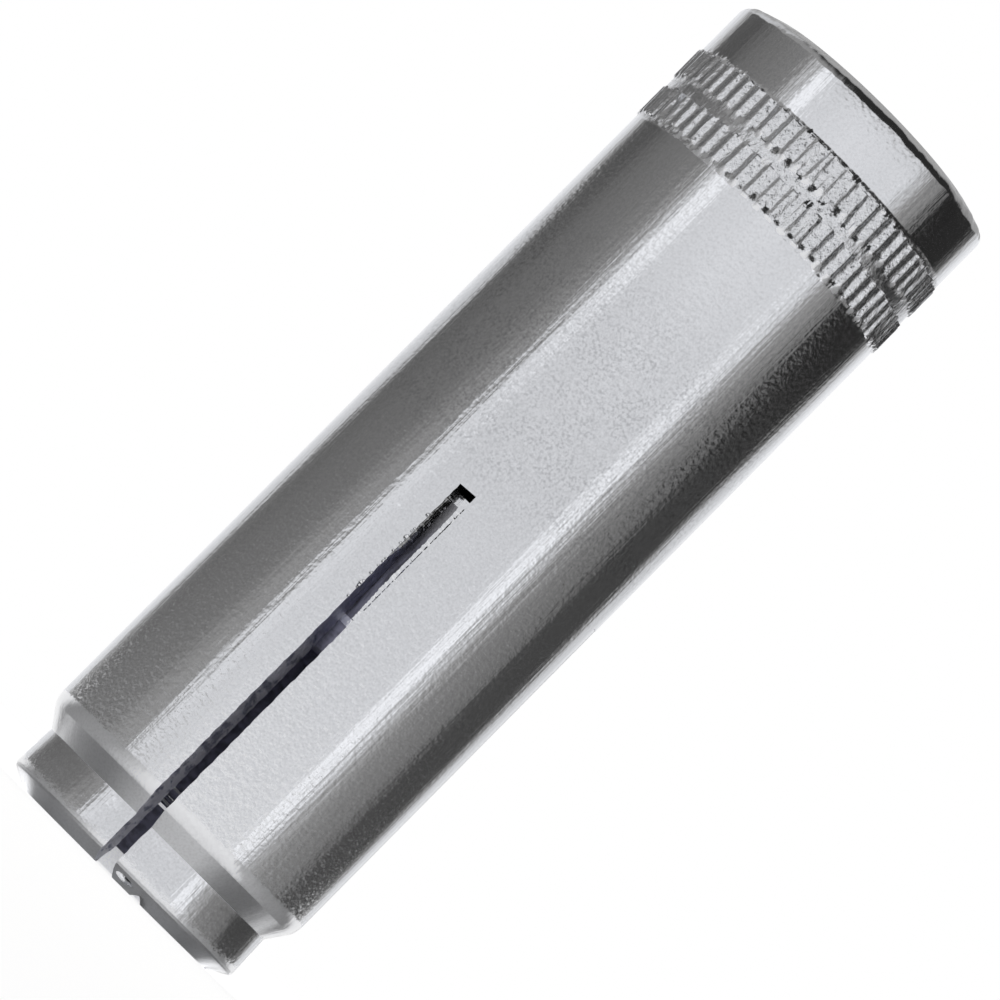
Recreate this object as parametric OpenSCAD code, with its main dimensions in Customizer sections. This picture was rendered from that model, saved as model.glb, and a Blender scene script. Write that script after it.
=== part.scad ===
// Drop-in anchor: a slotted steel sleeve with an internal thread, and the
// expander plug that is wedged lightly in the taper of its bore.
// The sleeve stands on its expansion end, with the axis along +Z, the origin
// at the middle of that end and the mouth at the top. The first slot lies half
// a pitch away from +X. Millimetres.

/* [Sleeve] */
// Length from the expansion end to the mouth
sleeve_length = 80; // [60:0.5:100]
// Diameter of the plain body, which is that of the drilled hole
body_diameter = 25; // [24:0.1:30]
// Chamfer on the mouth's outer edge, measured across the wall
mouth_chamfer_width = 1.8; // [0.3:0.1:2]
// Chamfer on the mouth's outer edge, measured along the axis
mouth_chamfer_height = 1; // [0.3:0.1:2]

/* [Knurl] */
// Teeth around each knurled band
knurl_teeth = 62; // [40:1:72]
// How far the ridges stand above the body
knurl_rise = 0.15; // [0.05:0.05:0.3]
// How far the grooves are pressed below the body
knurl_depth = 0.15; // [0.05:0.05:0.4]
// Width of a groove at its floor
groove_floor = 0.05; // [0.05:0.05:0.5]
// Width of a groove at the ridges' tops
groove_mouth = 0.6; // [0.55:0.05:0.95]
// Height of one band along the axis
band_height = 2.75; // [1:0.25:4]
// Plain strip between the two bands
band_gap = 1.1; // [0.3:0.1:2]
// Plain strip from the mouth to the first band
mouth_land = 5.4; // [2.5:0.1:8]

/* [Collar and shoulder] */
// Height of the collar at the expansion end
collar_height = 4.6; // [2:0.1:8]
// How much smaller the collar is than the body, on the radius
collar_step = 1.25; // [0.85:0.05:2]
// How much the collar narrows towards the flank, on the radius
collar_draft = 0.15; // [0:0.05:0.4]
// Height of the flank, which slopes out from the collar to the body's shoulder
flank_height = 1.6; // [0.8:0.05:3]
// Taper of the body's shoulder above the flank, across the wall
shoulder_width = 0.25; // [0.1:0.05:0.8]
// Taper of the body's shoulder above the flank, along the axis
shoulder_height = 1; // [0.2:0.05:3]
// Chamfer on the collar's end, measured across the wall
end_chamfer_width = 1.7; // [0.3:0.1:3.5]
// Chamfer on the collar's end, measured along the axis
end_chamfer_height = 0.95; // [0.3:0.05:4]

/* [Slots] */
// Slots that part the expansion end into segments
slot_count = 4; // [2:1:8]
// Width of a slot
slot_width = 1.5; // [0.8:0.1:3]
// Length of a slot from the expansion end
slot_length = 38.2; // [20:0.2:46]

/* [Bore] */
// Nominal diameter of the internal thread
thread_diameter = 20; // [16:0.5:21]
// Pitch of the internal thread
thread_pitch = 2.5; // [1.5:0.25:3]
// How far the mouth's countersink opens past the thread, on the radius
countersink_over = 0.15; // [0.1:0.05:0.5]
// Height down to which the bore keeps the thread's minor diameter
taper_top = 38.4; // [34:0.2:45]
// Height over which the bore then tapers
taper_length = 20; // [14:0.5:30]
// Diameter of the narrow bore below the taper
exit_diameter = 12.8; // [9:0.1:14]
// Break of the narrow bore's lower edge
exit_chamfer = 1.4; // [0.2:0.1:2]

/* [Expander plug] */
// Length of the plug
plug_length = 15.5; // [10:0.5:20]
// Distance of the plug's head below the top of the taper
plug_setback = 0.3; // [0:0.1:1.5]
// Gap between the plug and the taper, on the radius
plug_clearance = 0.03; // [0.01:0.01:0.1]
// Break of the plug's head
plug_head_chamfer = 0.5; // [0.1:0.1:1]
// Height of the plug's nose
plug_nose_height = 2.4; // [0.5:0.1:4]
// How far the nose narrows, on the radius
plug_nose_taper = 1.1; // [0.2:0.1:2]

/* [Hidden] */
$fn = 96;

// Cuts run this far past the faces that they open
past = 1;

// Outside of the sleeve
body_r = body_diameter / 2;
ridge_r = body_r + knurl_rise;
mouth_r = body_r - mouth_chamfer_width;
upper_band = sleeve_length - mouth_land - band_height;
lower_band = upper_band - band_gap - band_height;
collar_r = body_r - collar_step;
collar_top_r = collar_r - collar_draft;
shoulder_r = body_r - shoulder_width;
flank_top = collar_height + flank_height;
end_r = collar_r - end_chamfer_width;

// Bore of the sleeve, with the thread's basic minor diameter
thread_r = thread_diameter / 2;
minor_r = thread_r - 5 / 8 * cos(30) * thread_pitch;
countersink_r = thread_r + countersink_over;
countersink_z = sleeve_length - (countersink_r - minor_r);
exit_r = exit_diameter / 2;
taper_end = taper_top - taper_length;
taper_slope = (minor_r - exit_r) / taper_length;

// Plug in the taper
plug_top = taper_top - plug_setback;
plug_bottom = plug_top - plug_length;
plug_nose_top = plug_bottom + plug_nose_height;

// Radius of the plug's cone at height z, a clearance inside the taper
function plug_r(z) = minor_r - taper_slope * (taper_top - z) - plug_clearance;

// Outline of a raised ring on the body, from its lower edge up
function band_outline(z) = [
  [body_r, z],
  [ridge_r, z],
  [ridge_r, z + band_height],
  [body_r, z + band_height]
];

module turned_blank() {
  rotate_extrude()
    polygon(concat(
      [
        [0, 0],
        [end_r, 0],
        [collar_r, end_chamfer_height],
        [collar_top_r, collar_height],
        [shoulder_r, flank_top],
        [body_r, flank_top + shoulder_height]
      ],
      band_outline(lower_band),
      band_outline(upper_band),
      [
        [body_r, sleeve_length - mouth_chamfer_height],
        [mouth_r, sleeve_length],
        [0, sleeve_length]
      ]
    ));
}

module stepped_bore() {
  rotate_extrude()
    polygon([
      [0, -past],
      [exit_r + exit_chamfer + past, -past],
      [exit_r, exit_chamfer],
      [exit_r, taper_end],
      [minor_r, taper_top],
      [minor_r, countersink_z],
      [countersink_r + past, sleeve_length + past],
      [0, sleeve_length + past]
    ]);
}

// One slot, from the axis out through the wall
module slot() {
  translate([0, -slot_width / 2, -past])
    cube([body_r + past, slot_width, slot_length + past]);
}

// One band of pressed grooves, which leaves the ridges standing between them
module knurl_grooves(z) {
  groove_depth = knurl_rise + knurl_depth;
  outer_mouth = groove_mouth + (groove_mouth - groove_floor) * past / groove_depth;
  translate([0, 0, z])
    linear_extrude(band_height)
      for (i = [0 : knurl_teeth - 1])
        rotate(360 / knurl_teeth * i)
          polygon([
            [body_r - knurl_depth, -groove_floor / 2],
            [ridge_r + past, -outer_mouth / 2],
            [ridge_r + past, outer_mouth / 2],
            [body_r - knurl_depth, groove_floor / 2]
          ]);
}

module sleeve() {
  color("silver")
    difference() {
      turned_blank();
      stepped_bore();
      for (i = [0 : slot_count - 1])
        rotate(360 / slot_count * (i + 1 / 2))
          slot();
      knurl_grooves(lower_band);
      knurl_grooves(upper_band);
    }
}

module expander_plug() {
  color("dimgray")
    rotate_extrude()
      polygon([
        [0, plug_bottom],
        [plug_r(plug_nose_top) - plug_nose_taper, plug_bottom],
        [plug_r(plug_nose_top), plug_nose_top],
        [plug_r(plug_top - plug_head_chamfer), plug_top - plug_head_chamfer],
        [plug_r(plug_top) - plug_head_chamfer, plug_top],
        [0, plug_top]
      ]);
}

sleeve();
expander_plug();
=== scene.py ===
import math
import random

import bmesh
import bpy
from mathutils import Matrix, Vector


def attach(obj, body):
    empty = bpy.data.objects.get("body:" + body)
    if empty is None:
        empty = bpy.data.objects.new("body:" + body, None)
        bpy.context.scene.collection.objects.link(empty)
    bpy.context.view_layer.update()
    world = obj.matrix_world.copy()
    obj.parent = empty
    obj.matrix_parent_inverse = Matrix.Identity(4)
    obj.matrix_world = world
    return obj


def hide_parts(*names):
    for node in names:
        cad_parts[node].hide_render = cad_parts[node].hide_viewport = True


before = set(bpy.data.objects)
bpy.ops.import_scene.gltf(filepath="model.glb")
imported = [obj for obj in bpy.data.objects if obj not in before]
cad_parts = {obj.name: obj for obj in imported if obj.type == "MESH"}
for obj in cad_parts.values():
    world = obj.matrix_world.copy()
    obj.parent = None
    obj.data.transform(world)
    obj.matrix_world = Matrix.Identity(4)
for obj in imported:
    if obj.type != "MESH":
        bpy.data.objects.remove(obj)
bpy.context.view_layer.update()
mm = 0.001
print("frame loaded:", sorted(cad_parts))


def dropSelection():
    bpy.ops.object.select_all(action="DESELECT")


def takeUp(obj):
    dropSelection()
    obj.select_set(True)
    bpy.context.view_layer.objects.active = obj


def openMesh(obj, kind="VERT"):
    takeUp(obj)
    bpy.ops.object.mode_set(mode="EDIT")
    bpy.ops.mesh.select_mode(type=kind)


def closeMesh():
    bpy.ops.object.mode_set(mode="OBJECT")


def bake(obj):                               # leave the object at the origin, unturned and unscaled
    takeUp(obj)
    bpy.ops.object.transform_apply(location=True, rotation=True, scale=True)


def faceOut(obj):
    openMesh(obj)
    bpy.ops.mesh.select_all(action="SELECT")
    bpy.ops.mesh.normals_make_consistent(inside=False)
    closeMesh()


def pickVerts(obj, test):                    # in edit mode, select by place
    bpy.ops.mesh.select_all(action="DESELECT")
    shape = bmesh.from_edit_mesh(obj.data)
    for vert in shape.verts:
        vert.select = test(vert.co)
    shape.select_flush_mode()
    bmesh.update_edit_mesh(obj.data)


def roundOff(corners, steps=5):              # corners of (radius, height, rounding) to a smooth outline
    mostOfSide = 0.49                        # two roundings may share a side
    outline = []
    for i, (r, z, ease) in enumerate(corners):
        here = Vector((r, z))
        if not ease:
            outline.append(here)
            continue
        back = Vector(corners[i - 1][:2]) - here
        ahead = Vector(corners[i + 1][:2]) - here
        half = back.angle(ahead) / 2
        reach = min(ease / math.tan(half), back.length * mostOfSide, ahead.length * mostOfSide)
        radius = reach * math.tan(half)
        inwards = (back.normalized() + ahead.normalized()).normalized()
        middle = here + inwards * (radius / math.sin(half))
        start = here + back.normalized() * reach - middle
        sweep = start.angle_signed(here + ahead.normalized() * reach - middle)
        for k in range(steps + 1):
            outline.append(middle + Matrix.Rotation(-sweep * k / steps, 2) @ start)
    return outline


def turnSolid(name, outline, sides):         # a filled circle, extruded ring by ring
    radius, height = outline[0]
    dropSelection()
    bpy.ops.mesh.primitive_circle_add(vertices=sides, radius=radius * mm, fill_type="NGON",
                                      location=(0, 0, height * mm))
    obj = bpy.context.object
    obj.name = obj.data.name = name
    bake(obj)
    openMesh(obj, "FACE")
    bpy.ops.mesh.select_all(action="SELECT")
    for r, z in outline[1:]:
        bpy.ops.mesh.extrude_region_move(TRANSFORM_OT_translate={"value": (0, 0, (z - height) * mm)})
        bpy.ops.transform.resize(value=(r / radius, r / radius, 1), center_override=(0, 0, 0))
        radius, height = r, z
    closeMesh()
    faceOut(obj)
    return obj


def joinWith(obj, tool, operation="DIFFERENCE"):
    takeUp(obj)
    cut = obj.modifiers.new(tool.name, "BOOLEAN")
    cut.operation = operation
    cut.solver = "MANIFOLD"
    cut.object = tool
    bpy.ops.object.modifier_apply(modifier=cut.name)
    bpy.data.objects.remove(tool)


lens = {
    "azimuth": 52.4,          # degrees round from the front
    "reach": 520,             # millimetres from the axis
    "eye": 4,                 # height of the lens
    "aim": (0.54, 40.2),      # to the right of the axis, and height
    "lean": 45.18,            # how far the axis leans up from the picture's base line
    "scale": 13.4,            # pixels for a millimetre at the axis
    "picture": 1000,          # pixels across
    "sensor": 36,
    "clip": (0.01, 100),
}
viewTurn = math.radians(lens["azimuth"])
toLens = Vector((math.sin(viewTurn), -math.cos(viewTurn), 0))
toRight = Vector((-toLens.y, toLens.x, 0))
lensTurn = math.atan2(toLens.y, toLens.x)    # the turn about the axis that faces the lens


def placeCamera():
    eye = toLens * lens["reach"] * mm + Vector((0, 0, lens["eye"] * mm))
    aim = toRight * lens["aim"][0] * mm + Vector((0, 0, lens["aim"][1] * mm))
    ahead = (aim - eye).normalized()
    right = ahead.cross(Vector((0, 0, 1))).normalized()
    up = right.cross(ahead)
    lean = math.radians(lens["lean"])
    across = up * math.cos(lean) + right * math.sin(lean)
    above = up * math.sin(lean) - right * math.cos(lean)
    data = bpy.data.cameras.new("camera")
    data.sensor_width = lens["sensor"]
    data.lens = lens["scale"] * (aim - eye).length / mm * data.sensor_width / lens["picture"]
    data.clip_start, data.clip_end = lens["clip"]
    camera = bpy.data.objects.new("camera", data)
    camera.matrix_world = Matrix((across, above, -ahead)).transposed().to_4x4()
    camera.location = eye
    bpy.context.scene.collection.objects.link(camera)
    bpy.context.scene.camera = camera
    print("camera placed, lens", round(data.lens, 1))


placeCamera()

sleeveSize = {
    "sides": 620,             # ten for each tooth of the knurl
    "boreSides": 160,
    "body": 12.5,
    "foot": [                 # radius, height, rounding, from the end face up to the shoulder
        (9.35, 0, 0), (9.55, 0, 0.2), (11.25, 0.95, 0.5),
        (11.23, 2.0, 0), (11.13, 4.2, 0), (11.1, 4.6, 0.04), (12.25, 6.2, 0.05),
    ],
    "shoulder": (1.15, 2.2, 4),     # its height, the power of its curve, and the rings on it
    "plain": (7.45, 7.7, 38), # rings on the plain body, close above the shoulder to keep its shading even
    "mouth": [(12.5, 77, 0), (12.5, 79.36, 0.72), (10.7, 80, 0.2), (10.05, 80, 0)],
    "mouthSteps": 9,
    "exit": 6.4,              # radius of the narrow bore
    "inlet": [(9.15, -1, 0), (6.4, 1.75, 0.1)],     # the chamfer at the end face
    "toolRings": [            # bottom, crest and top of each ridge in the narrow bore, and its rise
        (6.22, 6.46, 6.56, 0.22), (6.62, 6.84, 6.94, 0.1),
        (7.05, 7.24, 7.36, 0.18), (7.82, 8.02, 8.12, 0.16),
    ],
    "taper": [(6.4, 18.4, 0.5), (8.647, 38.4, 0.3), (8.647, 78.497, 0.08), (11.15, 81, 0)],
    "boreSteps": 3,
    "ragged": 0.12,           # how far the turned edge at the mouth wanders
    "raggedEdge": (78.3, 79.7, 11.7),     # heights of that edge, and its least radius
    "ripples": [(5, 0.6), (40, 0.4)],     # smoothing passes and share of each wave in it
    "seed": 5,
}
knurlSize = {
    "teeth": 62,
    "bands": [(68.0, 70.62), (71.75, 74.4)],
    "rise": 0.15,             # lands above the body
    "slope": 0.15,            # length of the sloping ends
    "slopeOut": 0.4,          # share of a slope that lies outside the band
    "slopeIn": 0.6,           # and inside it
    "fullAt": 1.8,            # slopes from the band's end to the next ring on the lands
    "plain": (0.5, 0.45),     # how far below and above a band the body's own rings lie
    "flank": [-0.11, -0.1, -0.06, 0.055, 0.115],   # from the groove's floor out, a column each
    "grooveColumns": 3,       # columns from the floor out that move with the groove
    "lean": 0.22,             # the bands sit a little askew
    "leanPast": (0.55, 0.5),  # how far below and above a band the rings lean with it
    "wornPast": (0.4, 0.35),  # and how far they are worn
    "stray": (0.12, 0.072),   # spread of the strokes' lower and upper ends
    "footSpan": (-0.3, 0.25), # limits of that spread at the lower ends
    "headSpan": (-0.25, 0.22),      # and at the upper ones
    "footSteps": (-0.13, 0.1),      # how much shorter the slopes are at the lower ends
    "headSteps": (0.05, 0.14),      # and at the upper ones
    "endShare": 0.5,          # share of half a band that belongs to its ends
    "skew": 0.07,             # spread of the strokes' slant
    "depths": (0.7, 1.2),     # least and greatest depth of a stroke
    "grit": 0.009,            # roughness left by the roll
    "near": 0.004,            # a ring this close to the crest is part of it
    "flush": 0.001,           # and one this close to the body isn't rolled
    "seed": 3,
}


def footCorners():                           # from the end face up to the plain body
    corners, body = list(sleeveSize["foot"]), sleeveSize["body"]
    edge, low, ease = corners[-1]
    tall, power, steps = sleeveSize["shoulder"]
    for k in range(1, steps + 1):
        corners.append((body - (body - edge) * (1 - k / steps) ** power, low + tall * k / steps, 0))
    return corners + [(body, z, 0) for z in sleeveSize["plain"]]


def bandRings(low, high):
    body, slope = sleeveSize["body"], knurlSize["slope"]
    crest = body + knurlSize["rise"]
    under, over = knurlSize["plain"]
    out, inside, full = (slope * knurlSize[key] for key in ("slopeOut", "slopeIn", "fullAt"))
    return [
        (body, low - under), (body, low - out), (crest, low + inside), (crest, low + full),
        (crest, (low + high) / 2),
        (crest, high - full), (crest, high - inside), (body, high + out), (body, high + over),
    ]


def turnBlank():
    rings = roundOff(footCorners())
    for low, high in knurlSize["bands"]:
        rings += bandRings(low, high)
    rings += roundOff(sleeveSize["mouth"], sleeveSize["mouthSteps"])
    blank = turnSolid("sleeveBody", rings, sleeveSize["sides"])
    print("blank turned,", len(blank.data.vertices), "vertices")
    return blank


def radiusOf(place):
    return math.hypot(place.x, place.y) / mm


def column(place):
    return round(math.atan2(place.y, place.x) / math.tau * sleeveSize["sides"]) % sleeveSize["sides"]


def pressKnurl(blank):                       # the grooves are pushed in towards the axis, a column at a time
    crest = sleeveSize["body"] + knurlSize["rise"]
    each = sleeveSize["sides"] // knurlSize["teeth"]
    openMesh(blank)
    for away, level in enumerate(knurlSize["flank"]):

        def inGroove(place):
            spot = column(place) % each
            onCrest = abs(radiusOf(place) - crest) < knurlSize["near"]
            return onCrest and min(spot, each - spot) == away

        pickVerts(blank, inGroove)
        push = (sleeveSize["body"] + level) / crest
        bpy.ops.transform.resize(value=(push, push, 1), center_override=(0, 0, 0))
    closeMesh()
    print("knurl pressed")


def drawStroke(luck):                        # a groove or a land, with its own ends, slant and depth
    foot, head = knurlSize["stray"]
    return {
        "foot": luck.gauss(0, foot),
        "head": luck.gauss(0, head),
        "slant": luck.gauss(0, knurlSize["skew"]),
        "depth": luck.uniform(*knurlSize["depths"]),
        "footStep": luck.uniform(*knurlSize["footSteps"]),
        "headStep": luck.uniform(*knurlSize["headSteps"]),
    }


def within(value, span):
    return max(span[0], min(span[1], value))


def wearKnurl(blank):                        # uneven strokes, as a worn roll leaves them
    luck = random.Random(knurlSize["seed"])
    body, teeth = sleeveSize["body"], knurlSize["teeth"]
    each = sleeveSize["sides"] // teeth
    leanUnder, leanOver = knurlSize["leanPast"]
    wornUnder, wornOver = knurlSize["wornPast"]
    openMesh(blank)
    shape = bmesh.from_edit_mesh(blank.data)
    for low, high in knurlSize["bands"]:
        middle, half = (low + high) / 2, (high - low) / 2
        ends = half * knurlSize["endShare"]
        strokes = [drawStroke(luck) for k in range(teeth * 2)]          # grooves are even, lands are odd
        for vert in shape.verts:
            z = vert.co.z / mm
            if not low - leanUnder < z < high + leanOver:
                continue
            askew = -knurlSize["lean"] * vert.co.dot(toRight) / mm / body
            if low - wornUnder < z < high + wornOver:
                spot = column(vert.co)
                inGroove = min(spot % each, each - spot % each) < knurlSize["grooveColumns"]
                stroke = strokes[round(spot / each) % teeth * 2 if inGroove else spot // each * 2 + 1]
                radius = radiusOf(vert.co)
                rolled = abs(radius - body) > knurlSize["flush"]
                if z < middle - ends:
                    askew += within(stroke["foot"], knurlSize["footSpan"])
                    askew -= stroke["footStep"] if rolled else 0
                elif z > middle + ends:
                    askew += within(stroke["head"], knurlSize["headSpan"])
                    askew += stroke["headStep"] if rolled else 0
                if rolled:
                    worn = body + (radius - body) * stroke["depth"] + luck.gauss(0, knurlSize["grit"])
                    keep = worn / radius
                    turn = stroke["slant"] * (z - middle) / half / body if inGroove else 0
                    place = Vector((vert.co.x * keep, vert.co.y * keep, vert.co.z))
                    vert.co = Matrix.Rotation(turn, 3, "Z") @ place
            vert.co.z += askew * mm
    bmesh.update_edit_mesh(blank.data)
    closeMesh()
    print("knurl worn")


def ripple(luck, count, passes):             # smooth random values round a ring
    values = [luck.uniform(-1, 1) for k in range(count)]
    for turn in range(passes):
        values = [(values[k - 1] + values[k] + values[(k + 1) % count]) / 3 for k in range(count)]
    top = max(abs(v) for v in values)
    return [v / top for v in values]


def wearMouth(blank):                        # the edge of the mouth's chamfer is left ragged
    luck = random.Random(sleeveSize["seed"])
    waves = [(ripple(luck, sleeveSize["sides"], passes), share) for passes, share in sleeveSize["ripples"]]
    low, high, least = sleeveSize["raggedEdge"]
    openMesh(blank)
    shape = bmesh.from_edit_mesh(blank.data)
    for vert in shape.verts:
        if low < vert.co.z / mm < high and radiusOf(vert.co) > least:
            spot = column(vert.co)
            vert.co.z += sum(wave[spot] * share for wave, share in waves) * sleeveSize["ragged"] * mm
    bmesh.update_edit_mesh(blank.data)
    closeMesh()


def boreCorners():                           # from below the end face up past the mouth
    corners, bore = list(sleeveSize["inlet"]), sleeveSize["exit"]
    for low, crest, high, rise in sleeveSize["toolRings"]:
        corners += [(bore, low, 0), (bore - rise, crest, 0), (bore, high, 0)]
    return corners + sleeveSize["taper"]


def drillBore(blank):
    drill = turnSolid("drill", roundOff(boreCorners(), sleeveSize["boreSteps"]), sleeveSize["boreSides"])
    joinWith(blank, drill)
    print("bore drilled,", len(blank.data.polygons), "faces")


scoop = {                     # a dent beside the front slot
    "side": 0.56,             # to the right of the view
    "place": (9.9, 0.55),     # radius and height of its floor
    "size": (0.8, 0.2),       # half its width and height
    "aside": 25,              # degrees that its floor is turned from the view
    "length": 4,
    "sides": 48,
}
bite = {                      # a chip out of the end's edge
    "side": 2.35,
    "edge": 9.5,              # radius of that edge
    "place": 10,              # radius of the chip's middle
    "radius": 0.75,
    "drop": 0.25,             # its middle is below the end face
    "length": 6,
    "sides": 48,
}


def roundTurn(turn, radius, height):         # a place at that turn about the axis
    return Vector((math.cos(turn) * radius, math.sin(turn) * radius, height)) * mm


def sideTurn(side, radius):                  # the turn at which a place lies so far to the right of the view
    return lensTurn + math.asin(side / radius)


def dentEnd(blank):
    radius, height = scoop["place"]
    halfWide, halfHigh = scoop["size"]
    dropSelection()
    bpy.ops.mesh.primitive_cylinder_add(vertices=scoop["sides"], radius=1, depth=scoop["length"])
    tool = bpy.context.object
    tool.name = "scoop"
    for vert in tool.data.vertices:
        vert.co.x *= halfHigh
        vert.co.y *= halfWide
        if vert.co.z < 0:
            vert.co.z -= vert.co.y * math.tan(math.radians(scoop["aside"]))
    tool.scale = (mm, mm, mm)
    tool.rotation_euler = (0, math.pi / 2, lensTurn)
    tool.location = roundTurn(sideTurn(scoop["side"], radius), radius, height)
    tool.location += toLens * scoop["length"] / 2 * mm
    bake(tool)
    joinWith(blank, tool)


def chipEnd(blank):
    turn = sideTurn(bite["side"], bite["edge"])
    dropSelection()
    bpy.ops.mesh.primitive_cylinder_add(vertices=bite["sides"], radius=bite["radius"] * mm,
                                        depth=bite["length"] * mm,
                                        rotation=(math.pi / 2, 0, turn + math.pi / 2),
                                        location=roundTurn(turn, bite["place"], -bite["drop"]))
    tool = bpy.context.object
    tool.name = "bite"
    bake(tool)
    joinWith(blank, tool)
    print("end dented")


sleeve = turnBlank()
pressKnurl(sleeve)
wearKnurl(sleeve)
wearMouth(sleeve)
drillBore(sleeve)
dentEnd(sleeve)
chipEnd(sleeve)

threadSize = {
    "major": 10.05,
    "root": 8.3,
    "pitch": 2.5,
    "turns": 15,
    "sides": 96,
    "low": 45.5,
    "crestHalf": 0.16,        # half the groove's width at the major radius
    "flank": 30,              # degrees
    "weld": 1e-6,             # metres
}


def tapThread(body):                         # a slanting section, screwed up the bore
    rise = threadSize["major"] - threadSize["root"]
    wide = threadSize["crestHalf"] + rise * math.tan(math.radians(threadSize["flank"]))
    dropSelection()
    bpy.ops.mesh.primitive_plane_add(size=1, location=(0, 0, 0))
    tap = bpy.context.object
    tap.name = "tap"
    for vert in tap.data.vertices:
        outer = vert.co.x > 0
        radius = threadSize["major"] if outer else threadSize["root"]
        half = threadSize["crestHalf"] if outer else wide
        height = threadSize["low"] + math.copysign(half, vert.co.y)
        vert.co = (radius * mm, 0, height * mm)
    openMesh(tap, "FACE")
    bpy.ops.mesh.select_all(action="SELECT")
    bpy.ops.mesh.delete(type="ONLY_FACE")
    closeMesh()
    screw = tap.modifiers.new("screw", "SCREW")
    screw.angle = math.tau
    screw.screw_offset = threadSize["pitch"] * mm
    screw.iterations = threadSize["turns"]
    screw.steps = screw.render_steps = threadSize["sides"]
    screw.use_merge_vertices = False
    bpy.ops.object.modifier_apply(modifier=screw.name)
    openMesh(tap)
    bpy.ops.mesh.select_all(action="SELECT")
    bpy.ops.mesh.remove_doubles(threshold=threadSize["weld"])
    bpy.ops.mesh.select_all(action="SELECT")
    bpy.ops.mesh.fill_holes(sides=4)
    closeMesh()
    faceOut(tap)
    joinWith(body, tap)
    print("thread tapped,", len(body.data.polygons), "faces")


tapThread(sleeve)

slotSize = {
    "count": 4,
    "width": 1.5,
    "bottom": -1,             # the saw starts below the end face
    "top": 38.2,
    "depth": (4, 14),         # radii between which the saw cuts
    "slices": 170,
    "wander": 0.035,          # how far each edge strays
    "flare": (0.45, 1.35),    # rounding of the front slot's right lower corner, across and up
    "slant": 0.05,            # the front slot's top runs a little askew
    "undercut": 0.12,         # and rises inwards, as the saw left it
    "near": 0.01,             # a point this close to the top is part of it
    "seed": 11,
}
slotEdge = slotSize["width"] / 2


def slotTurn(i):                             # the slots lie half a pitch away from +X
    return math.tau * (i + 0.5) / slotSize["count"]


def longBar(name, depth, span, low, top, cuts):          # a bar along the axis, cut into slices
    dropSelection()
    bpy.ops.mesh.primitive_cube_add(size=1)
    bar = bpy.context.object
    bar.name = name
    bar.scale = ((depth[1] - depth[0]) * mm, (span[1] - span[0]) * mm, (top - low) * mm)
    bar.location = (sum(depth) / 2 * mm, sum(span) / 2 * mm, (low + top) / 2 * mm)
    bake(bar)
    openMesh(bar, "EDGE")
    bpy.ops.mesh.select_all(action="DESELECT")
    shape = bmesh.from_edit_mesh(bar.data)
    for edge in shape.edges:
        edge.select = abs(edge.verts[0].co.z - edge.verts[1].co.z) > mm
    bmesh.update_edit_mesh(bar.data)
    bpy.ops.mesh.subdivide(number_cuts=cuts)
    closeMesh()
    return bar


def turnBar(bar, turn):
    bar.rotation_euler.z = turn
    bake(bar)
    faceOut(bar)


burrSize = {
    "heights": (25.6, 37.6),
    "depth": (11.6, 12.4),    # radii of its foot and its outer face
    "wide": 0.3,
    "root": 0.3,              # how far it reaches into the segment
    "rough": 0.012,           # spread of its face
    "stray": 0.04,            # and of its free edge
    "lowEnd": (0.25, 0.5),    # share of its height below which it narrows, and how fast
    "topEnd": (0.85, 1.2),    # share above which it widens, and how fast
    "slices": 90,
    "seed": 12,
}
creaseSize = {                # a fine dark line along the burr's root
    "depth": (12.2, 13),
    "span": (-0.02, 0.07),    # from the slot's edge
    "short": (1, 0.6),        # how much shorter than the burr it is, below and above
    "stray": 0.02,
    "shallow": 0.25,          # how much of its depth it may lose
    "slices": 70,
}


def raiseBurr(body, turn):                   # left standing by the saw along the right edge
    luck = random.Random(burrSize["seed"])
    low, top = burrSize["heights"]
    lowEnd, lowRate = burrSize["lowEnd"]
    topEnd, topRate = burrSize["topEnd"]
    span = (slotEdge - burrSize["wide"], slotEdge + burrSize["root"])
    burr = longBar("burr", burrSize["depth"], span, low, top, burrSize["slices"])
    for vert in burr.data.vertices:
        up = (vert.co.z / mm - low) / (top - low)
        if vert.co.x > sum(burrSize["depth"]) / 2 * mm:
            vert.co.x += luck.uniform(-burrSize["rough"], burrSize["rough"]) * mm
        if vert.co.y < slotEdge * mm:
            stray = luck.uniform(-burrSize["stray"], burrSize["stray"])
            vert.co.y += (stray + max(0, lowEnd - up) * lowRate - max(0, up - topEnd) * topRate) * mm
    turnBar(burr, turn)
    joinWith(body, burr, "UNION")
    creaseBurr(body, turn, luck)


def creaseBurr(body, turn, luck):
    low, top = burrSize["heights"]
    under, over = creaseSize["short"]
    span = [slotEdge + aside for aside in creaseSize["span"]]
    crease = longBar("crease", creaseSize["depth"], span, low + under, top - over, creaseSize["slices"])
    for vert in crease.data.vertices:
        vert.co.y += luck.uniform(-creaseSize["stray"], creaseSize["stray"]) * mm
        if vert.co.x < sum(creaseSize["depth"]) / 2 * mm:
            vert.co.x += luck.uniform(0, creaseSize["shallow"]) * mm
    turnBar(crease, turn)
    joinWith(body, crease)


lipSize = {
    "heights": (30.6, 37.1),
    "depth": (11, 12.45),     # radii of its foot and of its face's outer edge
    "wide": 0.36,
    "root": 0.25,             # how far it reaches into the segment
    "slope": 41.5,            # degrees that its face leans in
    "thin": 0.4,              # share of its height over which it thins out downwards
    "sunk": 0.02,             # its thin end lies this far inside the segment
    "stray": (-0.06, 0.04),   # spread of its free edge
    "rough": 0.035,           # and of its face
    "slices": 60,
    "seed": 14,
}


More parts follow.
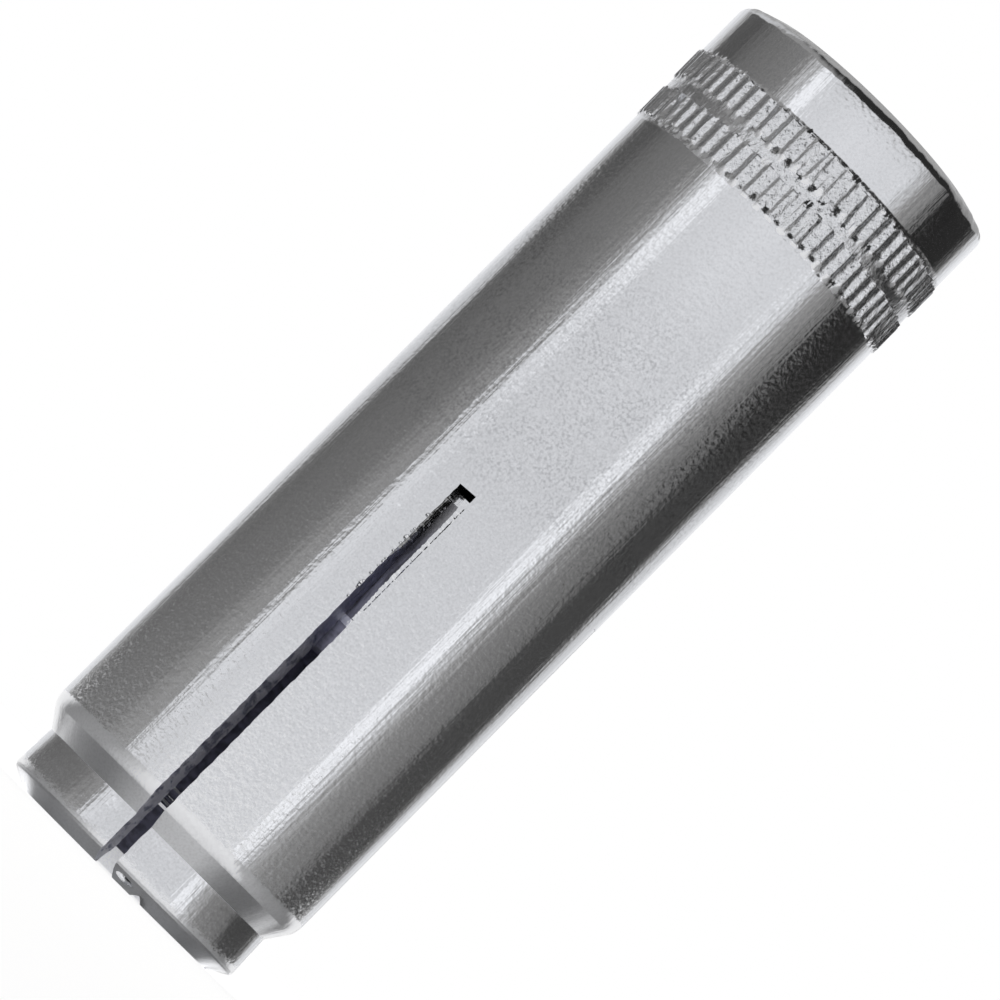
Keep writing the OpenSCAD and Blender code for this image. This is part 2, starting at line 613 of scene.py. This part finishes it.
def smearEdge(body, turn):                   # the left edge is smeared over, and thins out downwards
    luck = random.Random(lipSize["seed"])
    low, top = lipSize["heights"]
    face = lipSize["depth"][1]
    span = (-slotEdge - lipSize["root"], -slotEdge + lipSize["wide"])
    lip = longBar("lip", lipSize["depth"], span, low, top, lipSize["slices"])
    lean = math.tan(math.radians(lipSize["slope"]))
    for vert in lip.data.vertices:
        up = (vert.co.z / mm - low) / (top - low)
        if vert.co.y > -slotEdge * mm:
            thin = min(1, up / lipSize["thin"])
            wide = (lipSize["wide"] + luck.uniform(*lipSize["stray"])) * thin - lipSize["sunk"]
            vert.co.y = (wide - slotEdge) * mm
            if vert.co.x > sum(lipSize["depth"]) / 2 * mm:
                rough = luck.uniform(-lipSize["rough"], lipSize["rough"])
                vert.co.x = (face - (wide + lipSize["root"]) * lean + rough) * mm
    turnBar(lip, turn)
    joinWith(body, lip, "UNION")


nickSize = {
    "count": 18,
    "radii": (0.11, 0.21),
    "place": 12.47,           # radius of their middles
    "stray": 0.1,             # how far from the slot's edge
    "heights": (25.5, 35),
    "fineness": 2,
    "seed": 13,
}


def nickEdge(body, turn):                    # small bites along that edge
    luck = random.Random(nickSize["seed"])
    for k in range(nickSize["count"]):
        radius = luck.uniform(*nickSize["radii"])
        aside = slotEdge + luck.uniform(0, nickSize["stray"])
        height = luck.uniform(*nickSize["heights"])
        dropSelection()
        bpy.ops.mesh.primitive_ico_sphere_add(subdivisions=nickSize["fineness"], radius=radius * mm,
                                              location=(nickSize["place"] * mm, -aside * mm, height * mm))
        nick = bpy.context.object
        nick.name = "nick%d" % k
        bake(nick)
        turnBar(nick, turn)
        joinWith(body, nick)


sprungSize = {                # the segment past the slot at the right limb
    "depth": (12.24, 14),     # radii of the lowered face at the body and of the cut's outer side
    "span": (-0.2, 2.6),      # from the middle of the slot
    "slope": 0.045,           # rise of that face for each millimetre away from the slot
    "slices": 160,
}


def bodyRadius(z):
    spots = [(h, r) for r, h, ease in footCorners()]
    for (low, first), (high, last) in zip(spots, spots[1:]):
        if low < high and z <= high:
            return first + (last - first) * (max(z, low) - low) / (high - low)
    return sleeveSize["body"]


def easeEdge(body, turn):                    # that segment is sprung in a little
    bar = longBar("ease", sprungSize["depth"], sprungSize["span"], slotSize["bottom"], slotSize["top"],
                  sprungSize["slices"])
    for vert in bar.data.vertices:
        if vert.co.x < sum(sprungSize["depth"]) / 2 * mm:
            drop = sleeveSize["body"] - bodyRadius(vert.co.z / mm)
            vert.co.x += vert.co.y * sprungSize["slope"] - drop * mm
    turnBar(bar, turn)
    joinWith(body, bar)


def flareAt(z):                              # a quarter round at the lower corner
    reach, rise = slotSize["flare"]
    return reach * (1 - math.sqrt(1 - min(1, (rise - max(z, 0)) / rise) ** 2))


def sawSlots(body):
    luck = random.Random(slotSize["seed"])
    front = min(range(slotSize["count"]), key=lambda i: abs(slotTurn(i) - lensTurn % math.tau))
    for i in range(slotSize["count"]):
        saw = longBar("saw%d" % i, slotSize["depth"], (-slotEdge, slotEdge), slotSize["bottom"],
                      slotSize["top"], slotSize["slices"])
        strays = {}
        for vert in saw.data.vertices:
            z = vert.co.z / mm
            key = (round(z, 2), vert.co.y > 0)
            if key not in strays:
                strays[key] = luck.uniform(-1, 1) * slotSize["wander"]
                if i == front and vert.co.y > 0 and z < slotSize["flare"][1]:
                    strays[key] = flareAt(z)
            if i == front and z > slotSize["top"] - slotSize["near"]:
                vert.co.z += slotSize["slant"] * math.copysign(mm, vert.co.y)
                vert.co.z += (sleeveSize["body"] * mm - vert.co.x) * slotSize["undercut"]
            vert.co.y += strays[key] * mm
        turnBar(saw, slotTurn(i))
        joinWith(body, saw)
        if i == front:
            raiseBurr(body, slotTurn(i))
            smearEdge(body, slotTurn(i))
            nickEdge(body, slotTurn(i))
        if i == (front + 1) % slotSize["count"]:
            easeEdge(body, slotTurn(i))
    print("slots sawn,", len(body.data.polygons), "faces")


sawSlots(sleeve)

plugSize = {
    "sides": 160,
    "outline": [              # radius, height, rounding, from the nose up to the head
        (5.9, 22.6, 0), (6.01, 22.6, 0.1), (7.11, 25.1, 0.1), (7.2, 25.75, 0),
        (8.46, 37.05, 0.03), (8.44, 37.65, 0.1), (8.083, 37.9, 0.05), (7.9, 37.9, 0),
    ],
    "rim": 37.1,              # the head is worn bright from here up
    "ring": (25.15, 25.76),   # a bright ring above the nose
    "flatTurn": -4,           # degrees from the view at which a flat on the head starts
    "flatSpread": 10,         # degrees that it spreads from there
    "flatFrom": (37, 8.3),    # least height and radius that it takes in
    "head": 8.46,             # radius of the head
}


def turnPlug():
    plug = turnSolid("expanderPlug", roundOff(plugSize["outline"]), plugSize["sides"])
    start = lensTurn + math.radians(plugSize["flatTurn"])
    way = Vector((math.cos(start), math.sin(start)))
    level = plugSize["head"] * math.cos(math.radians(plugSize["flatSpread"])) * mm
    leastHeight, leastRadius = plugSize["flatFrom"]
    for vert in plug.data.vertices:
        across = vert.co.to_2d()
        onHead = vert.co.z > leastHeight * mm and across.length > leastRadius * mm
        if onHead and 0 < math.degrees(way.angle_signed(across, 0)) < plugSize["flatSpread"]:
            grow = level / across.dot(way)
            vert.co.x, vert.co.y = across * grow
    print("plug turned,", len(plug.data.vertices), "vertices")
    return plug


plug = turnPlug()


class Wire:                                  # an output socket that takes part in sums
    def __init__(self, socket):
        self.socket = socket
        self.tree = socket.id_data

    @classmethod
    def node(cls, tree, kind, settings, values, out=0):
        made = tree.nodes.new("ShaderNode" + kind)
        for name, value in settings.items():
            if name == "stops":
                while len(made.color_ramp.elements) < len(value):
                    made.color_ramp.elements.new(0.5)
                for stop, (place, shade) in zip(made.color_ramp.elements, value):
                    stop.position = place
                    stop.color = (shade, shade, shade, 1)
            else:
                setattr(made, name, value)
        for name, value in values.items():
            if isinstance(value, Wire):
                tree.links.new(value.socket, made.inputs[name])
            else:
                made.inputs[name].default_value = value
        return cls(made.outputs[out] if made.outputs else made.inputs[0])

    def other(self, name):
        return Wire(self.socket.node.outputs[name])

    def sum(self, operation, first, second):
        return Wire.node(self.tree, "Math", {"operation": operation}, {0: first, 1: second})

    def __add__(self, other):
        return self.sum("ADD", self, other)

    def __radd__(self, other):
        return self.sum("ADD", other, self)

    def __sub__(self, other):
        return self.sum("SUBTRACT", self, other)

    def __rsub__(self, other):
        return self.sum("SUBTRACT", other, self)

    def __mul__(self, other):
        return self.sum("MULTIPLY", self, other)

    def __rmul__(self, other):
        return self.sum("MULTIPLY", other, self)

    def __truediv__(self, other):
        return self.sum("DIVIDE", self, other)

    def between(self, low, high, first=0.0, last=1.0):   # a smooth step from one level to another
        return Wire.node(self.tree, "MapRange", {"interpolation_type": "SMOOTHSTEP"},
                         {"Value": self, "From Min": low, "From Max": high, "To Min": first, "To Max": last})

    def inside(self, low, full, last, high):             # 1 between full and last, 0 past low and high
        return self.between(low, full) * (1 - self.between(last, high))

    def ramp(self, stops):
        return Wire.node(self.tree, "ValToRGB", {"stops": stops}, {"Fac": self})


def freshMaterial(name):
    material = bpy.data.materials.new(name)
    material.use_nodes = True
    material.node_tree.nodes.clear()
    return material, material.node_tree


def finishWith(tree, shader):
    Wire.node(tree, "OutputMaterial", {}, {"Surface": shader})


def millimetres(tree, stretch=(1, 1, 1)):
    place = Wire.node(tree, "TexCoord", {}, {}, "Object")
    scale = tuple(s / mm for s in stretch)
    return Wire.node(tree, "VectorMath", {"operation": "MULTIPLY"}, {0: place, 1: scale})


def heightUp(tree):
    return Wire.node(tree, "SeparateXYZ", {}, {"Vector": millimetres(tree)}, "Z")


def noise(tree, place, scale, detail=2.0, rough=0.5):
    return Wire.node(tree, "TexNoise", {},
                     {"Vector": place, "Scale": scale, "Detail": detail, "Roughness": rough})


def blend(tree, share, first, second):
    first, second = (tone if isinstance(tone, Wire) else (*tone, 1) for tone in (first, second))
    return Wire.node(tree, "Mix", {"data_type": "RGBA"}, {"Factor": share, 6: first, 7: second}, 2)


def steelSurface(tree, tone, metallic, roughness, height, relief):
    bump = Wire.node(tree, "Bump", {}, {"Strength": 1.0, "Distance": relief, "Height": height})
    finishWith(tree, Wire.node(tree, "BsdfPrincipled", {}, {
        "Base Color": tone, "Metallic": metallic, "Roughness": roughness, "Normal": bump}))


zincLook = {
    "light": (0.775, 0.782, 0.80),
    "dull": (0.68, 0.685, 0.70),
    "pitted": (0.5, 0.505, 0.52),
    "speckle": 5.0,           # grains for a millimetre
    "speckleLevels": (0.3, 0.6),
    "speckleShare": 0.75,     # of the tone, and the rest is the blotches
    "blotch": 0.5,
    "streaks": (6, 6, 0.25),  # how fine they are round the body and along it
    "mottle": 2.4,
    "lines": (1.7, 1.7, 0.05),      # drawn along the tube
    "pits": 4.2,
    "pitLevels": (0.42, 0.72, 0, 0.8),
    "patch": (36, 42, 54, 62),      # heights between which the plate is pitted
    "patchLevels": (0.35, 0.6, 0.45, 1),
    "dents": 3.2,             # in the rolled bands
    "dentStretch": (1, 1, 0.5),
    "bands": (67.6, 68.0, 74.4, 74.8),
    "rim": (79.2, 79.5),      # the mouth's rim is dented too
    "rimShare": 0.6,
    "roughness": 0.115,
    "roughSpread": 0.1,
    "roughBands": 0.06,
    "relief": 0.0000022,      # height of the speckle in metres, and the others are multiples of it
    "streakRelief": 0.5,
    "mottleRelief": 6,
    "lineRelief": 13,
    "dentRelief": 30,
}


def zincPlate():
    material, tree = freshMaterial("zincPlate")
    place, high = millimetres(tree), heightUp(tree)
    speckle = noise(tree, place, zincLook["speckle"], 3, 0.6)
    blotch = noise(tree, place, zincLook["blotch"])
    streak = noise(tree, millimetres(tree, zincLook["streaks"]), 1.0)
    mottle = noise(tree, place, zincLook["mottle"], 1.5)
    lines = noise(tree, millimetres(tree, zincLook["lines"]), 1.0, 3, 0.6)
    dents = noise(tree, millimetres(tree, zincLook["dentStretch"]), zincLook["dents"], 3, 0.6)
    rolled = high.inside(*zincLook["bands"]) + high.between(*zincLook["rim"]) * zincLook["rimShare"]
    share = speckle.between(*zincLook["speckleLevels"]) * zincLook["speckleShare"]
    share = share + blotch * (1 - zincLook["speckleShare"])
    tone = blend(tree, share, zincLook["dull"], zincLook["light"])
    patch = high.inside(*zincLook["patch"]) * blotch.between(*zincLook["patchLevels"])
    pits = noise(tree, place, zincLook["pits"]).between(*zincLook["pitLevels"]) * patch
    tone = blend(tree, pits, tone, zincLook["pitted"])
    rough = zincLook["roughness"] + (streak + speckle - 1) * zincLook["roughSpread"]
    rough = rough + rolled * zincLook["roughBands"]
    height = speckle + streak * zincLook["streakRelief"] + mottle * zincLook["mottleRelief"]
    height = height + lines * zincLook["lineRelief"] + rolled * dents * zincLook["dentRelief"]
    steelSurface(tree, tone, 1.0, rough, height, zincLook["relief"])
    return material


sawnLook = {
    "light": (0.95, 0.95, 1.0),
    "dark": (0.3, 0.31, 0.42),
    "stain": 1.1,             # grains for a millimetre
    "stainStretch": (0.2, 0.2, 1),
    "stainLevels": (0.36, 0.52),
    "dull": (0.6, 0.61, 0.74),      # painted shade on the walls beside the plug
    "plugShadeFrom": (21, 25),     # heights over which it starts
    "shadeMottle": 1.5,
    "shadeMottleStretch": (0.5, 0.5, 0.3),
    "shadeMottleLevels": (0.3, 0.5, 0.6, 1),
    "topShade": (0.02, 0.02, 0.02),    # painted shade, near black, at the slots' tops
    "topShadeFrom": (31, 34.5),
    "grain": 1.3,
    "roughness": 0.45,
    "relief": 0.0006,
}


def sawnSteel():
    material, tree = freshMaterial("sawnSteel")
    high = heightUp(tree)
    grain = noise(tree, millimetres(tree), sawnLook["grain"], 3)
    stain = noise(tree, millimetres(tree, sawnLook["stainStretch"]), sawnLook["stain"], 3, 0.6)
    shadeMottle = noise(tree, millimetres(tree, sawnLook["shadeMottleStretch"]), sawnLook["shadeMottle"], 3)
    tone = blend(tree, stain.between(*sawnLook["stainLevels"]), sawnLook["dark"], sawnLook["light"])
    # painted shade: the walls darken in patches beside the plug
    share = high.between(*sawnLook["plugShadeFrom"]) * shadeMottle.between(*sawnLook["shadeMottleLevels"])
    tone = blend(tree, share, tone, sawnLook["dull"])
    # painted shade: the walls go black towards the slots' tops
    tone = blend(tree, high.between(*sawnLook["topShadeFrom"]), tone, sawnLook["topShade"])
    steelSurface(tree, tone, 1.0, sawnLook["roughness"], grain, sawnLook["relief"])
    return material


boreLook = {
    "light": (0.5, 0.5, 0.62),
    "dark": (0.3, 0.3, 0.38),
    "film": 1.2,              # grains for a millimetre
    "filmStretch": (1, 1, 1.5),
    "filmLevels": (0.35, 0.65),
    "rings": (0.05, 0.05, 8), # how fine the turned rings are round the bore and along it
    "metallic": 0.6,
    "roughness": 0.4,
    "relief": 0.00001,
}


def boreSteel():                             # the plate hardly reaches down there
    material, tree = freshMaterial("boreSteel")
    film = noise(tree, millimetres(tree, boreLook["filmStretch"]), boreLook["film"], 3)
    rings = noise(tree, millimetres(tree, boreLook["rings"]), 1.0)
    tone = blend(tree, film.between(*boreLook["filmLevels"]), boreLook["dark"], boreLook["light"])
    steelSurface(tree, tone, boreLook["metallic"], boreLook["roughness"], rings, boreLook["relief"])
    return material


plugShadedLook = {
    # painted shade: both tones are kept dark to stand for the shade inside the sleeve
    "light": (0.3, 0.3, 0.37),
    "dark": (0.1, 0.1, 0.12),
    "film": 1.3,              # grains for a millimetre
    "filmStretch": (2, 2, 0.15),
    "filmLevels": (0.35, 0.65),
    "rubbed": (0.5, 0.5, 0.53),     # towards the head
    "rubbedFrom": (32.5, 36),
    "rings": (0.05, 0.05, 6), # how fine the turned rings are round the plug and along it
    "roughness": 0.32,
    "relief": 0.000008,
}


def plugSteel():
    material, tree = freshMaterial("plugSteel")
    film = noise(tree, millimetres(tree, plugShadedLook["filmStretch"]), plugShadedLook["film"], 3)
    rings = noise(tree, millimetres(tree, plugShadedLook["rings"]), 1.0, 3)
    # painted shade: the plug is dark all over, with its real film varying the tone
    tone = blend(tree, film.between(*plugShadedLook["filmLevels"]), plugShadedLook["dark"], plugShadedLook["light"])
    tone = blend(tree, heightUp(tree).between(*plugShadedLook["rubbedFrom"]), tone, plugShadedLook["rubbed"])
    steelSurface(tree, tone, 1.0, plugShadedLook["roughness"], rings, plugShadedLook["relief"])
    return material


bareSize = {                  # where the sleeve's steel is bare
    "top": 1.2,               # how far above the slots the plate starts again
    "bore": (8.7, 1.8),       # greatest radius and least height of the bare bore
    "upright": 0.25,          # a bore face leans no more than this
    "inwards": -2,            # and looks at the axis
    "slotFrom": 4,            # least radius of a slot's walls
    "aside": 0.06,            # how far past its width a slot's walls stray
    "flareAside": 0.5,        # and at the lower corner
    "wall": 0.95,             # a slot's wall looks across the slot
    "ceiling": -0.98,         # and its top looks down
}


def looksAtAxis(middle, normal):             # a face of the bare bore
    greatest, least = bareSize["bore"]
    inBore = math.hypot(middle.x, middle.y) < greatest and middle.z > least
    inwards = normal.x * middle.x + normal.y * middle.y < bareSize["inwards"]
    return inBore and inwards and abs(normal.z) < bareSize["upright"]


def dressSleeve(body, plate, boreWall):      # plate all over, bare steel where the saw went and in the bore
    plated, sawn, bore = range(3)
    body.data.materials.clear()
    for material in (plate, sawnSteel(), boreWall):
        body.data.materials.append(material)
    for face in body.data.polygons:
        face.material_index = plated
        middle, normal = face.center / mm, face.normal
        if middle.z > slotSize["top"] + bareSize["top"]:
            continue
        if looksAtAxis(middle, normal):
            face.material_index = bore
        low = middle.z < slotSize["flare"][1]
        gap = slotEdge + bareSize["flareAside" if low else "aside"]
        ceiling = normal.z < bareSize["ceiling"]
        for i in range(slotSize["count"]):
            along = Vector((math.cos(slotTurn(i)), math.sin(slotTurn(i)), 0))
            aside = Vector((-along.y, along.x, 0))
            inSlot = middle.dot(along) > bareSize["slotFrom"] and abs(middle.dot(aside)) < gap
            if inSlot and (ceiling or abs(normal.dot(aside)) > bareSize["wall"]):
                face.material_index = bore if ceiling else sawn


def dressPlug(body, plate, boreWall):        # plate where it is bright, bare steel on the cone and the nose
    turned, bright, bare = range(3)
    for material in (plugSteel(), plate, boreWall):
        body.data.materials.append(material)
    low, high = plugSize["ring"]
    for face in body.data.polygons:
        z = face.center.z / mm
        face.material_index = turned
        if z < low:
            face.material_index = bare
        elif z < high or z > plugSize["rim"]:
            face.material_index = bright


plate, boreWall = zincPlate(), boreSteel()
dressSleeve(sleeve, plate, boreWall)
dressPlug(plug, plate, boreWall)
print("dressed")

studio = {
    "radius": 2.0,
    "fineness": (64, 32),
    "gain": 1.6,
    "low": [                  # degrees round from the camera, right is positive, and brightness
        (-180, 1.05), (-158, 0.8), (-151, 0.82), (-144, 0.22), (-134, 0.165), (-115, 0.195), (-86, 0.215),
        (-78, 0.26), (-66, 0.38), (-59, 0.26), (-56, 0.98), (-49, 0.98), (-46, 0.84), (46, 0.84), (48, 1.3),
        (54, 1.3), (57, 0.8), (62, 0.56), (68, 0.38), (74, 0.28), (85, 0.25), (99, 0.21), (104, 0.08),
        (137, 0.075), (143, 0.2), (151, 0.82), (158, 0.8), (180, 1.05),
    ],
    "high": [
        (-180, 1.05), (-150, 0.8), (-138, 0.12), (-118, 0.1), (-100, 0.18), (-60, 0.25), (-56, 0.5),
        (-49, 0.6), (-46, 1.2), (-39, 1.2), (-36, 0.82), (0, 0.92), (52, 0.85), (62, 0.36), (78, 0.22),
        (81, 0.02), (130, 0.03), (137, 0.2), (150, 0.9), (180, 1.05),
    ],
    "twist": 0.012,           # how far the low ring's lights draw in for each degree up
    "twistTop": 8,            # degrees up, where that ends
    "waist": 0.09,            # how much dimmer the wall is half way up
    "waistSpan": (2, 4.2, 6.5, 8),  # degrees up
    "climb": (6.8, 8.2),      # degrees up, from the low ring of light to the high one
    "roof": (13, 20),         # degrees up, where the wall gives way to the roof
    "over": [(-1, 0.55), (-0.85, 0.42), (-0.6, 0.4), (-0.3, 0.3), (-0.15, 0.03), (1, 0.03)],
    "left": 0.3,              # the roof is lighter at the left
    "leftSpan": (-0.3, -0.7),
    "warm": (1.012, 1.0, 0.985),    # tint of the dark parts of the room
    "cool": (0.985, 0.993, 1.015),  # and of the light ones
    "tintLevels": (0.3, 0.8),
}
floorLook = {
    "sides": 96,
    "share": 0.99,            # of the dome's radius
    "glow": 0.8,
    "colour": (0.9, 0.9, 0.9, 1),
    "mirrorShadow": [               # millimetres from the axis, and brightness in the metal, with a painted contact shadow close round the body
        (0, 0.03), (4.6, 0.03), (5.2, 0.6), (8.3, 0.6), (8.9, 0.9), (11.5, 0.9), (12.6, 0.42), (16, 0.44),
        (20, 0.72), (40, 0.78),
    ],
    "under": [                # degrees round from the camera, and share of that brightness, below the body: painted shade
        (-180, 0.9), (-74, 0.8), (-61, 0.1), (-46, 0.06), (-30, 0.09), (30, 0.09), (46, 0.05), (61, 0.1),
        (74, 0.8), (180, 0.9),
    ],
    "near": [                 # beside it, with painted shadows
        (-180, 1), (-110, 1), (-99, 0.75), (-84, 0.25), (-71, 0.08), (-61, 0.03), (-51, 0.02), (-44, 0.06),
        (-36, 0.22), (-29, 0.4), (-22, 0.6), (-10, 0.85), (5, 1), (24, 1), (30, 0.72), (42, 0.25), (51, 0.1),
        (61, 0.03), (71, 0.03), (84, 0.3), (99, 0.9), (110, 1), (180, 1),
    ],
    "far": [                  # and further out, with painted shadows
        (-180, 1), (-135, 1), (-116, 0.08), (-80, 0.17), (-58, 0.24), (-45, 0.48), (-37, 0.62), (-30, 0.88),
        (-22, 1), (46, 1), (52, 0.45), (58, 0.36), (80, 0.18), (118, 0.05), (136, 1), (180, 1),
    ],
    "parted": (11.6, 12.4, 16, 22),     # millimetres from the axis, between the three patterns
}


def ringOfLight(turn, stops):
    return turn.ramp([(d / 360 + 0.5, v / studio["gain"]) for d, v in stops]) * studio["gain"]


def cameraWay(tree, flat=False):             # direction from the axis, with x towards the camera
    place = Wire.node(tree, "TexCoord", {}, {}, "Object")
    turned = Wire.node(tree, "VectorRotate", {"rotation_type": "Z_AXIS"},
                       {"Vector": place, "Angle": math.pi / 2 - viewTurn})
    way = turned if flat else Wire.node(tree, "VectorMath", {"operation": "NORMALIZE"}, {0: turned})
    front = Wire.node(tree, "SeparateXYZ", {}, {"Vector": way}, "X")
    side, high = front.other("Y"), front.other("Z")
    return front, side, high, front.sum("ARCTAN2", side, front) / math.tau + 0.5


def raiseDome():
    segments, rings = studio["fineness"]
    dropSelection()
    bpy.ops.mesh.primitive_uv_sphere_add(segments=segments, ring_count=rings, radius=studio["radius"])
    dome = bpy.context.object
    dome.name = "dome"
    dome.visible_camera = False
    material, tree = freshMaterial("domeGlow")
    front, side, high, turn = cameraWay(tree)
    up = front.sum("ARCSINE", high, 0.0) * math.degrees(1)
    climb = up.between(*studio["climb"])
    drawnIn = 1 + up.between(0, studio["twistTop"], 0, studio["twistTop"]) * studio["twist"]
    low = ringOfLight((turn - 0.5) * drawnIn + 0.5, studio["low"])
    wall = low * (1 - climb) + ringOfLight(turn, studio["high"]) * climb
    wall = wall * (1 - up.inside(*studio["waistSpan"]) * studio["waist"])
    roof = (front * 0.5 + 0.5).ramp([(x * 0.5 + 0.5, v) for x, v in studio["over"]])
    roof = roof + side.between(*studio["leftSpan"]) * studio["left"]
    share = up.between(*studio["roof"])
    level = wall * (1 - share) + roof * share
    tint = blend(tree, level.between(*studio["tintLevels"]), studio["warm"], studio["cool"])
    glow = Wire.node(tree, "VectorMath", {"operation": "SCALE"}, {0: tint, "Scale": level})
    finishWith(tree, Wire.node(tree, "Emission", {}, {"Color": glow}))
    material.cycles.emission_sampling = "NONE"
    dome.data.materials.append(material)


def layFloor():
    dropSelection()
    bpy.ops.mesh.primitive_circle_add(vertices=floorLook["sides"], fill_type="NGON",
                                      radius=studio["radius"] * floorLook["share"])
    floor = bpy.context.object
    floor.name = "floor"
    material, tree = freshMaterial("paleFloor")
    front, side, high, turn = cameraWay(tree, True)
    away = front.sum("POWER", front * front + side * side, 0.5) / mm
    inner = away.between(*floorLook["parted"][:2])
    outer = away.between(*floorLook["parted"][2:])
    # painted shadow on the floor, seen only in the metal: darker under and beside the body
    shadowLane = ringOfLight(turn, floorLook["under"]) * (1 - inner)
    shadowLane = shadowLane + ringOfLight(turn, floorLook["near"]) * inner * (1 - outer)
    shadowLane = shadowLane + ringOfLight(turn, floorLook["far"]) * outer
    stops = floorLook["mirrorShadow"]
    last = stops[-1][0]
    mirrorShadow = shadowLane * (away / last).ramp([(r / last, v) for r, v in stops])
    seen = Wire.node(tree, "LightPath", {}, {}, "Is Camera Ray")
    glow = (seen + seen.other("Is Transmission Ray")) * floorLook["glow"]
    glow = glow + seen.other("Is Glossy Ray") * mirrorShadow
    light = Wire.node(tree, "Emission", {}, {"Color": glow})
    matt = Wire.node(tree, "BsdfDiffuse", {}, {"Color": floorLook["colour"]})
    finishWith(tree, Wire.node(tree, "AddShader", {}, {0: light, 1: matt}))
    material.cycles.emission_sampling = "NONE"
    floor.data.materials.append(material)


def lightWorld():
    world = bpy.data.worlds.new("white")
    bpy.context.scene.world = world
    world.use_nodes = True
    world.node_tree.nodes["Background"].inputs["Color"].default_value = (1, 1, 1, 1)


raiseDome()
layFloor()
lightWorld()
print("stage set")

smoothBelow = math.radians(40)               # edges sharper than this stay sharp
for piece, node, slot in ((sleeve, "sleeve", "zinc_plated_steel"), (plug, "expander_plug", "plug_steel")):
    takeUp(piece)
    bpy.ops.object.shade_smooth_by_angle(angle=smoothBelow)
    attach(piece, "root")
    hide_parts(node)
    triangles = sum(len(face.vertices) - 2 for face in piece.data.polygons)
    print(piece.name, len(piece.data.vertices), "vertices,", triangles, "triangles")

bpy.context.scene.view_settings.view_transform = "Standard"
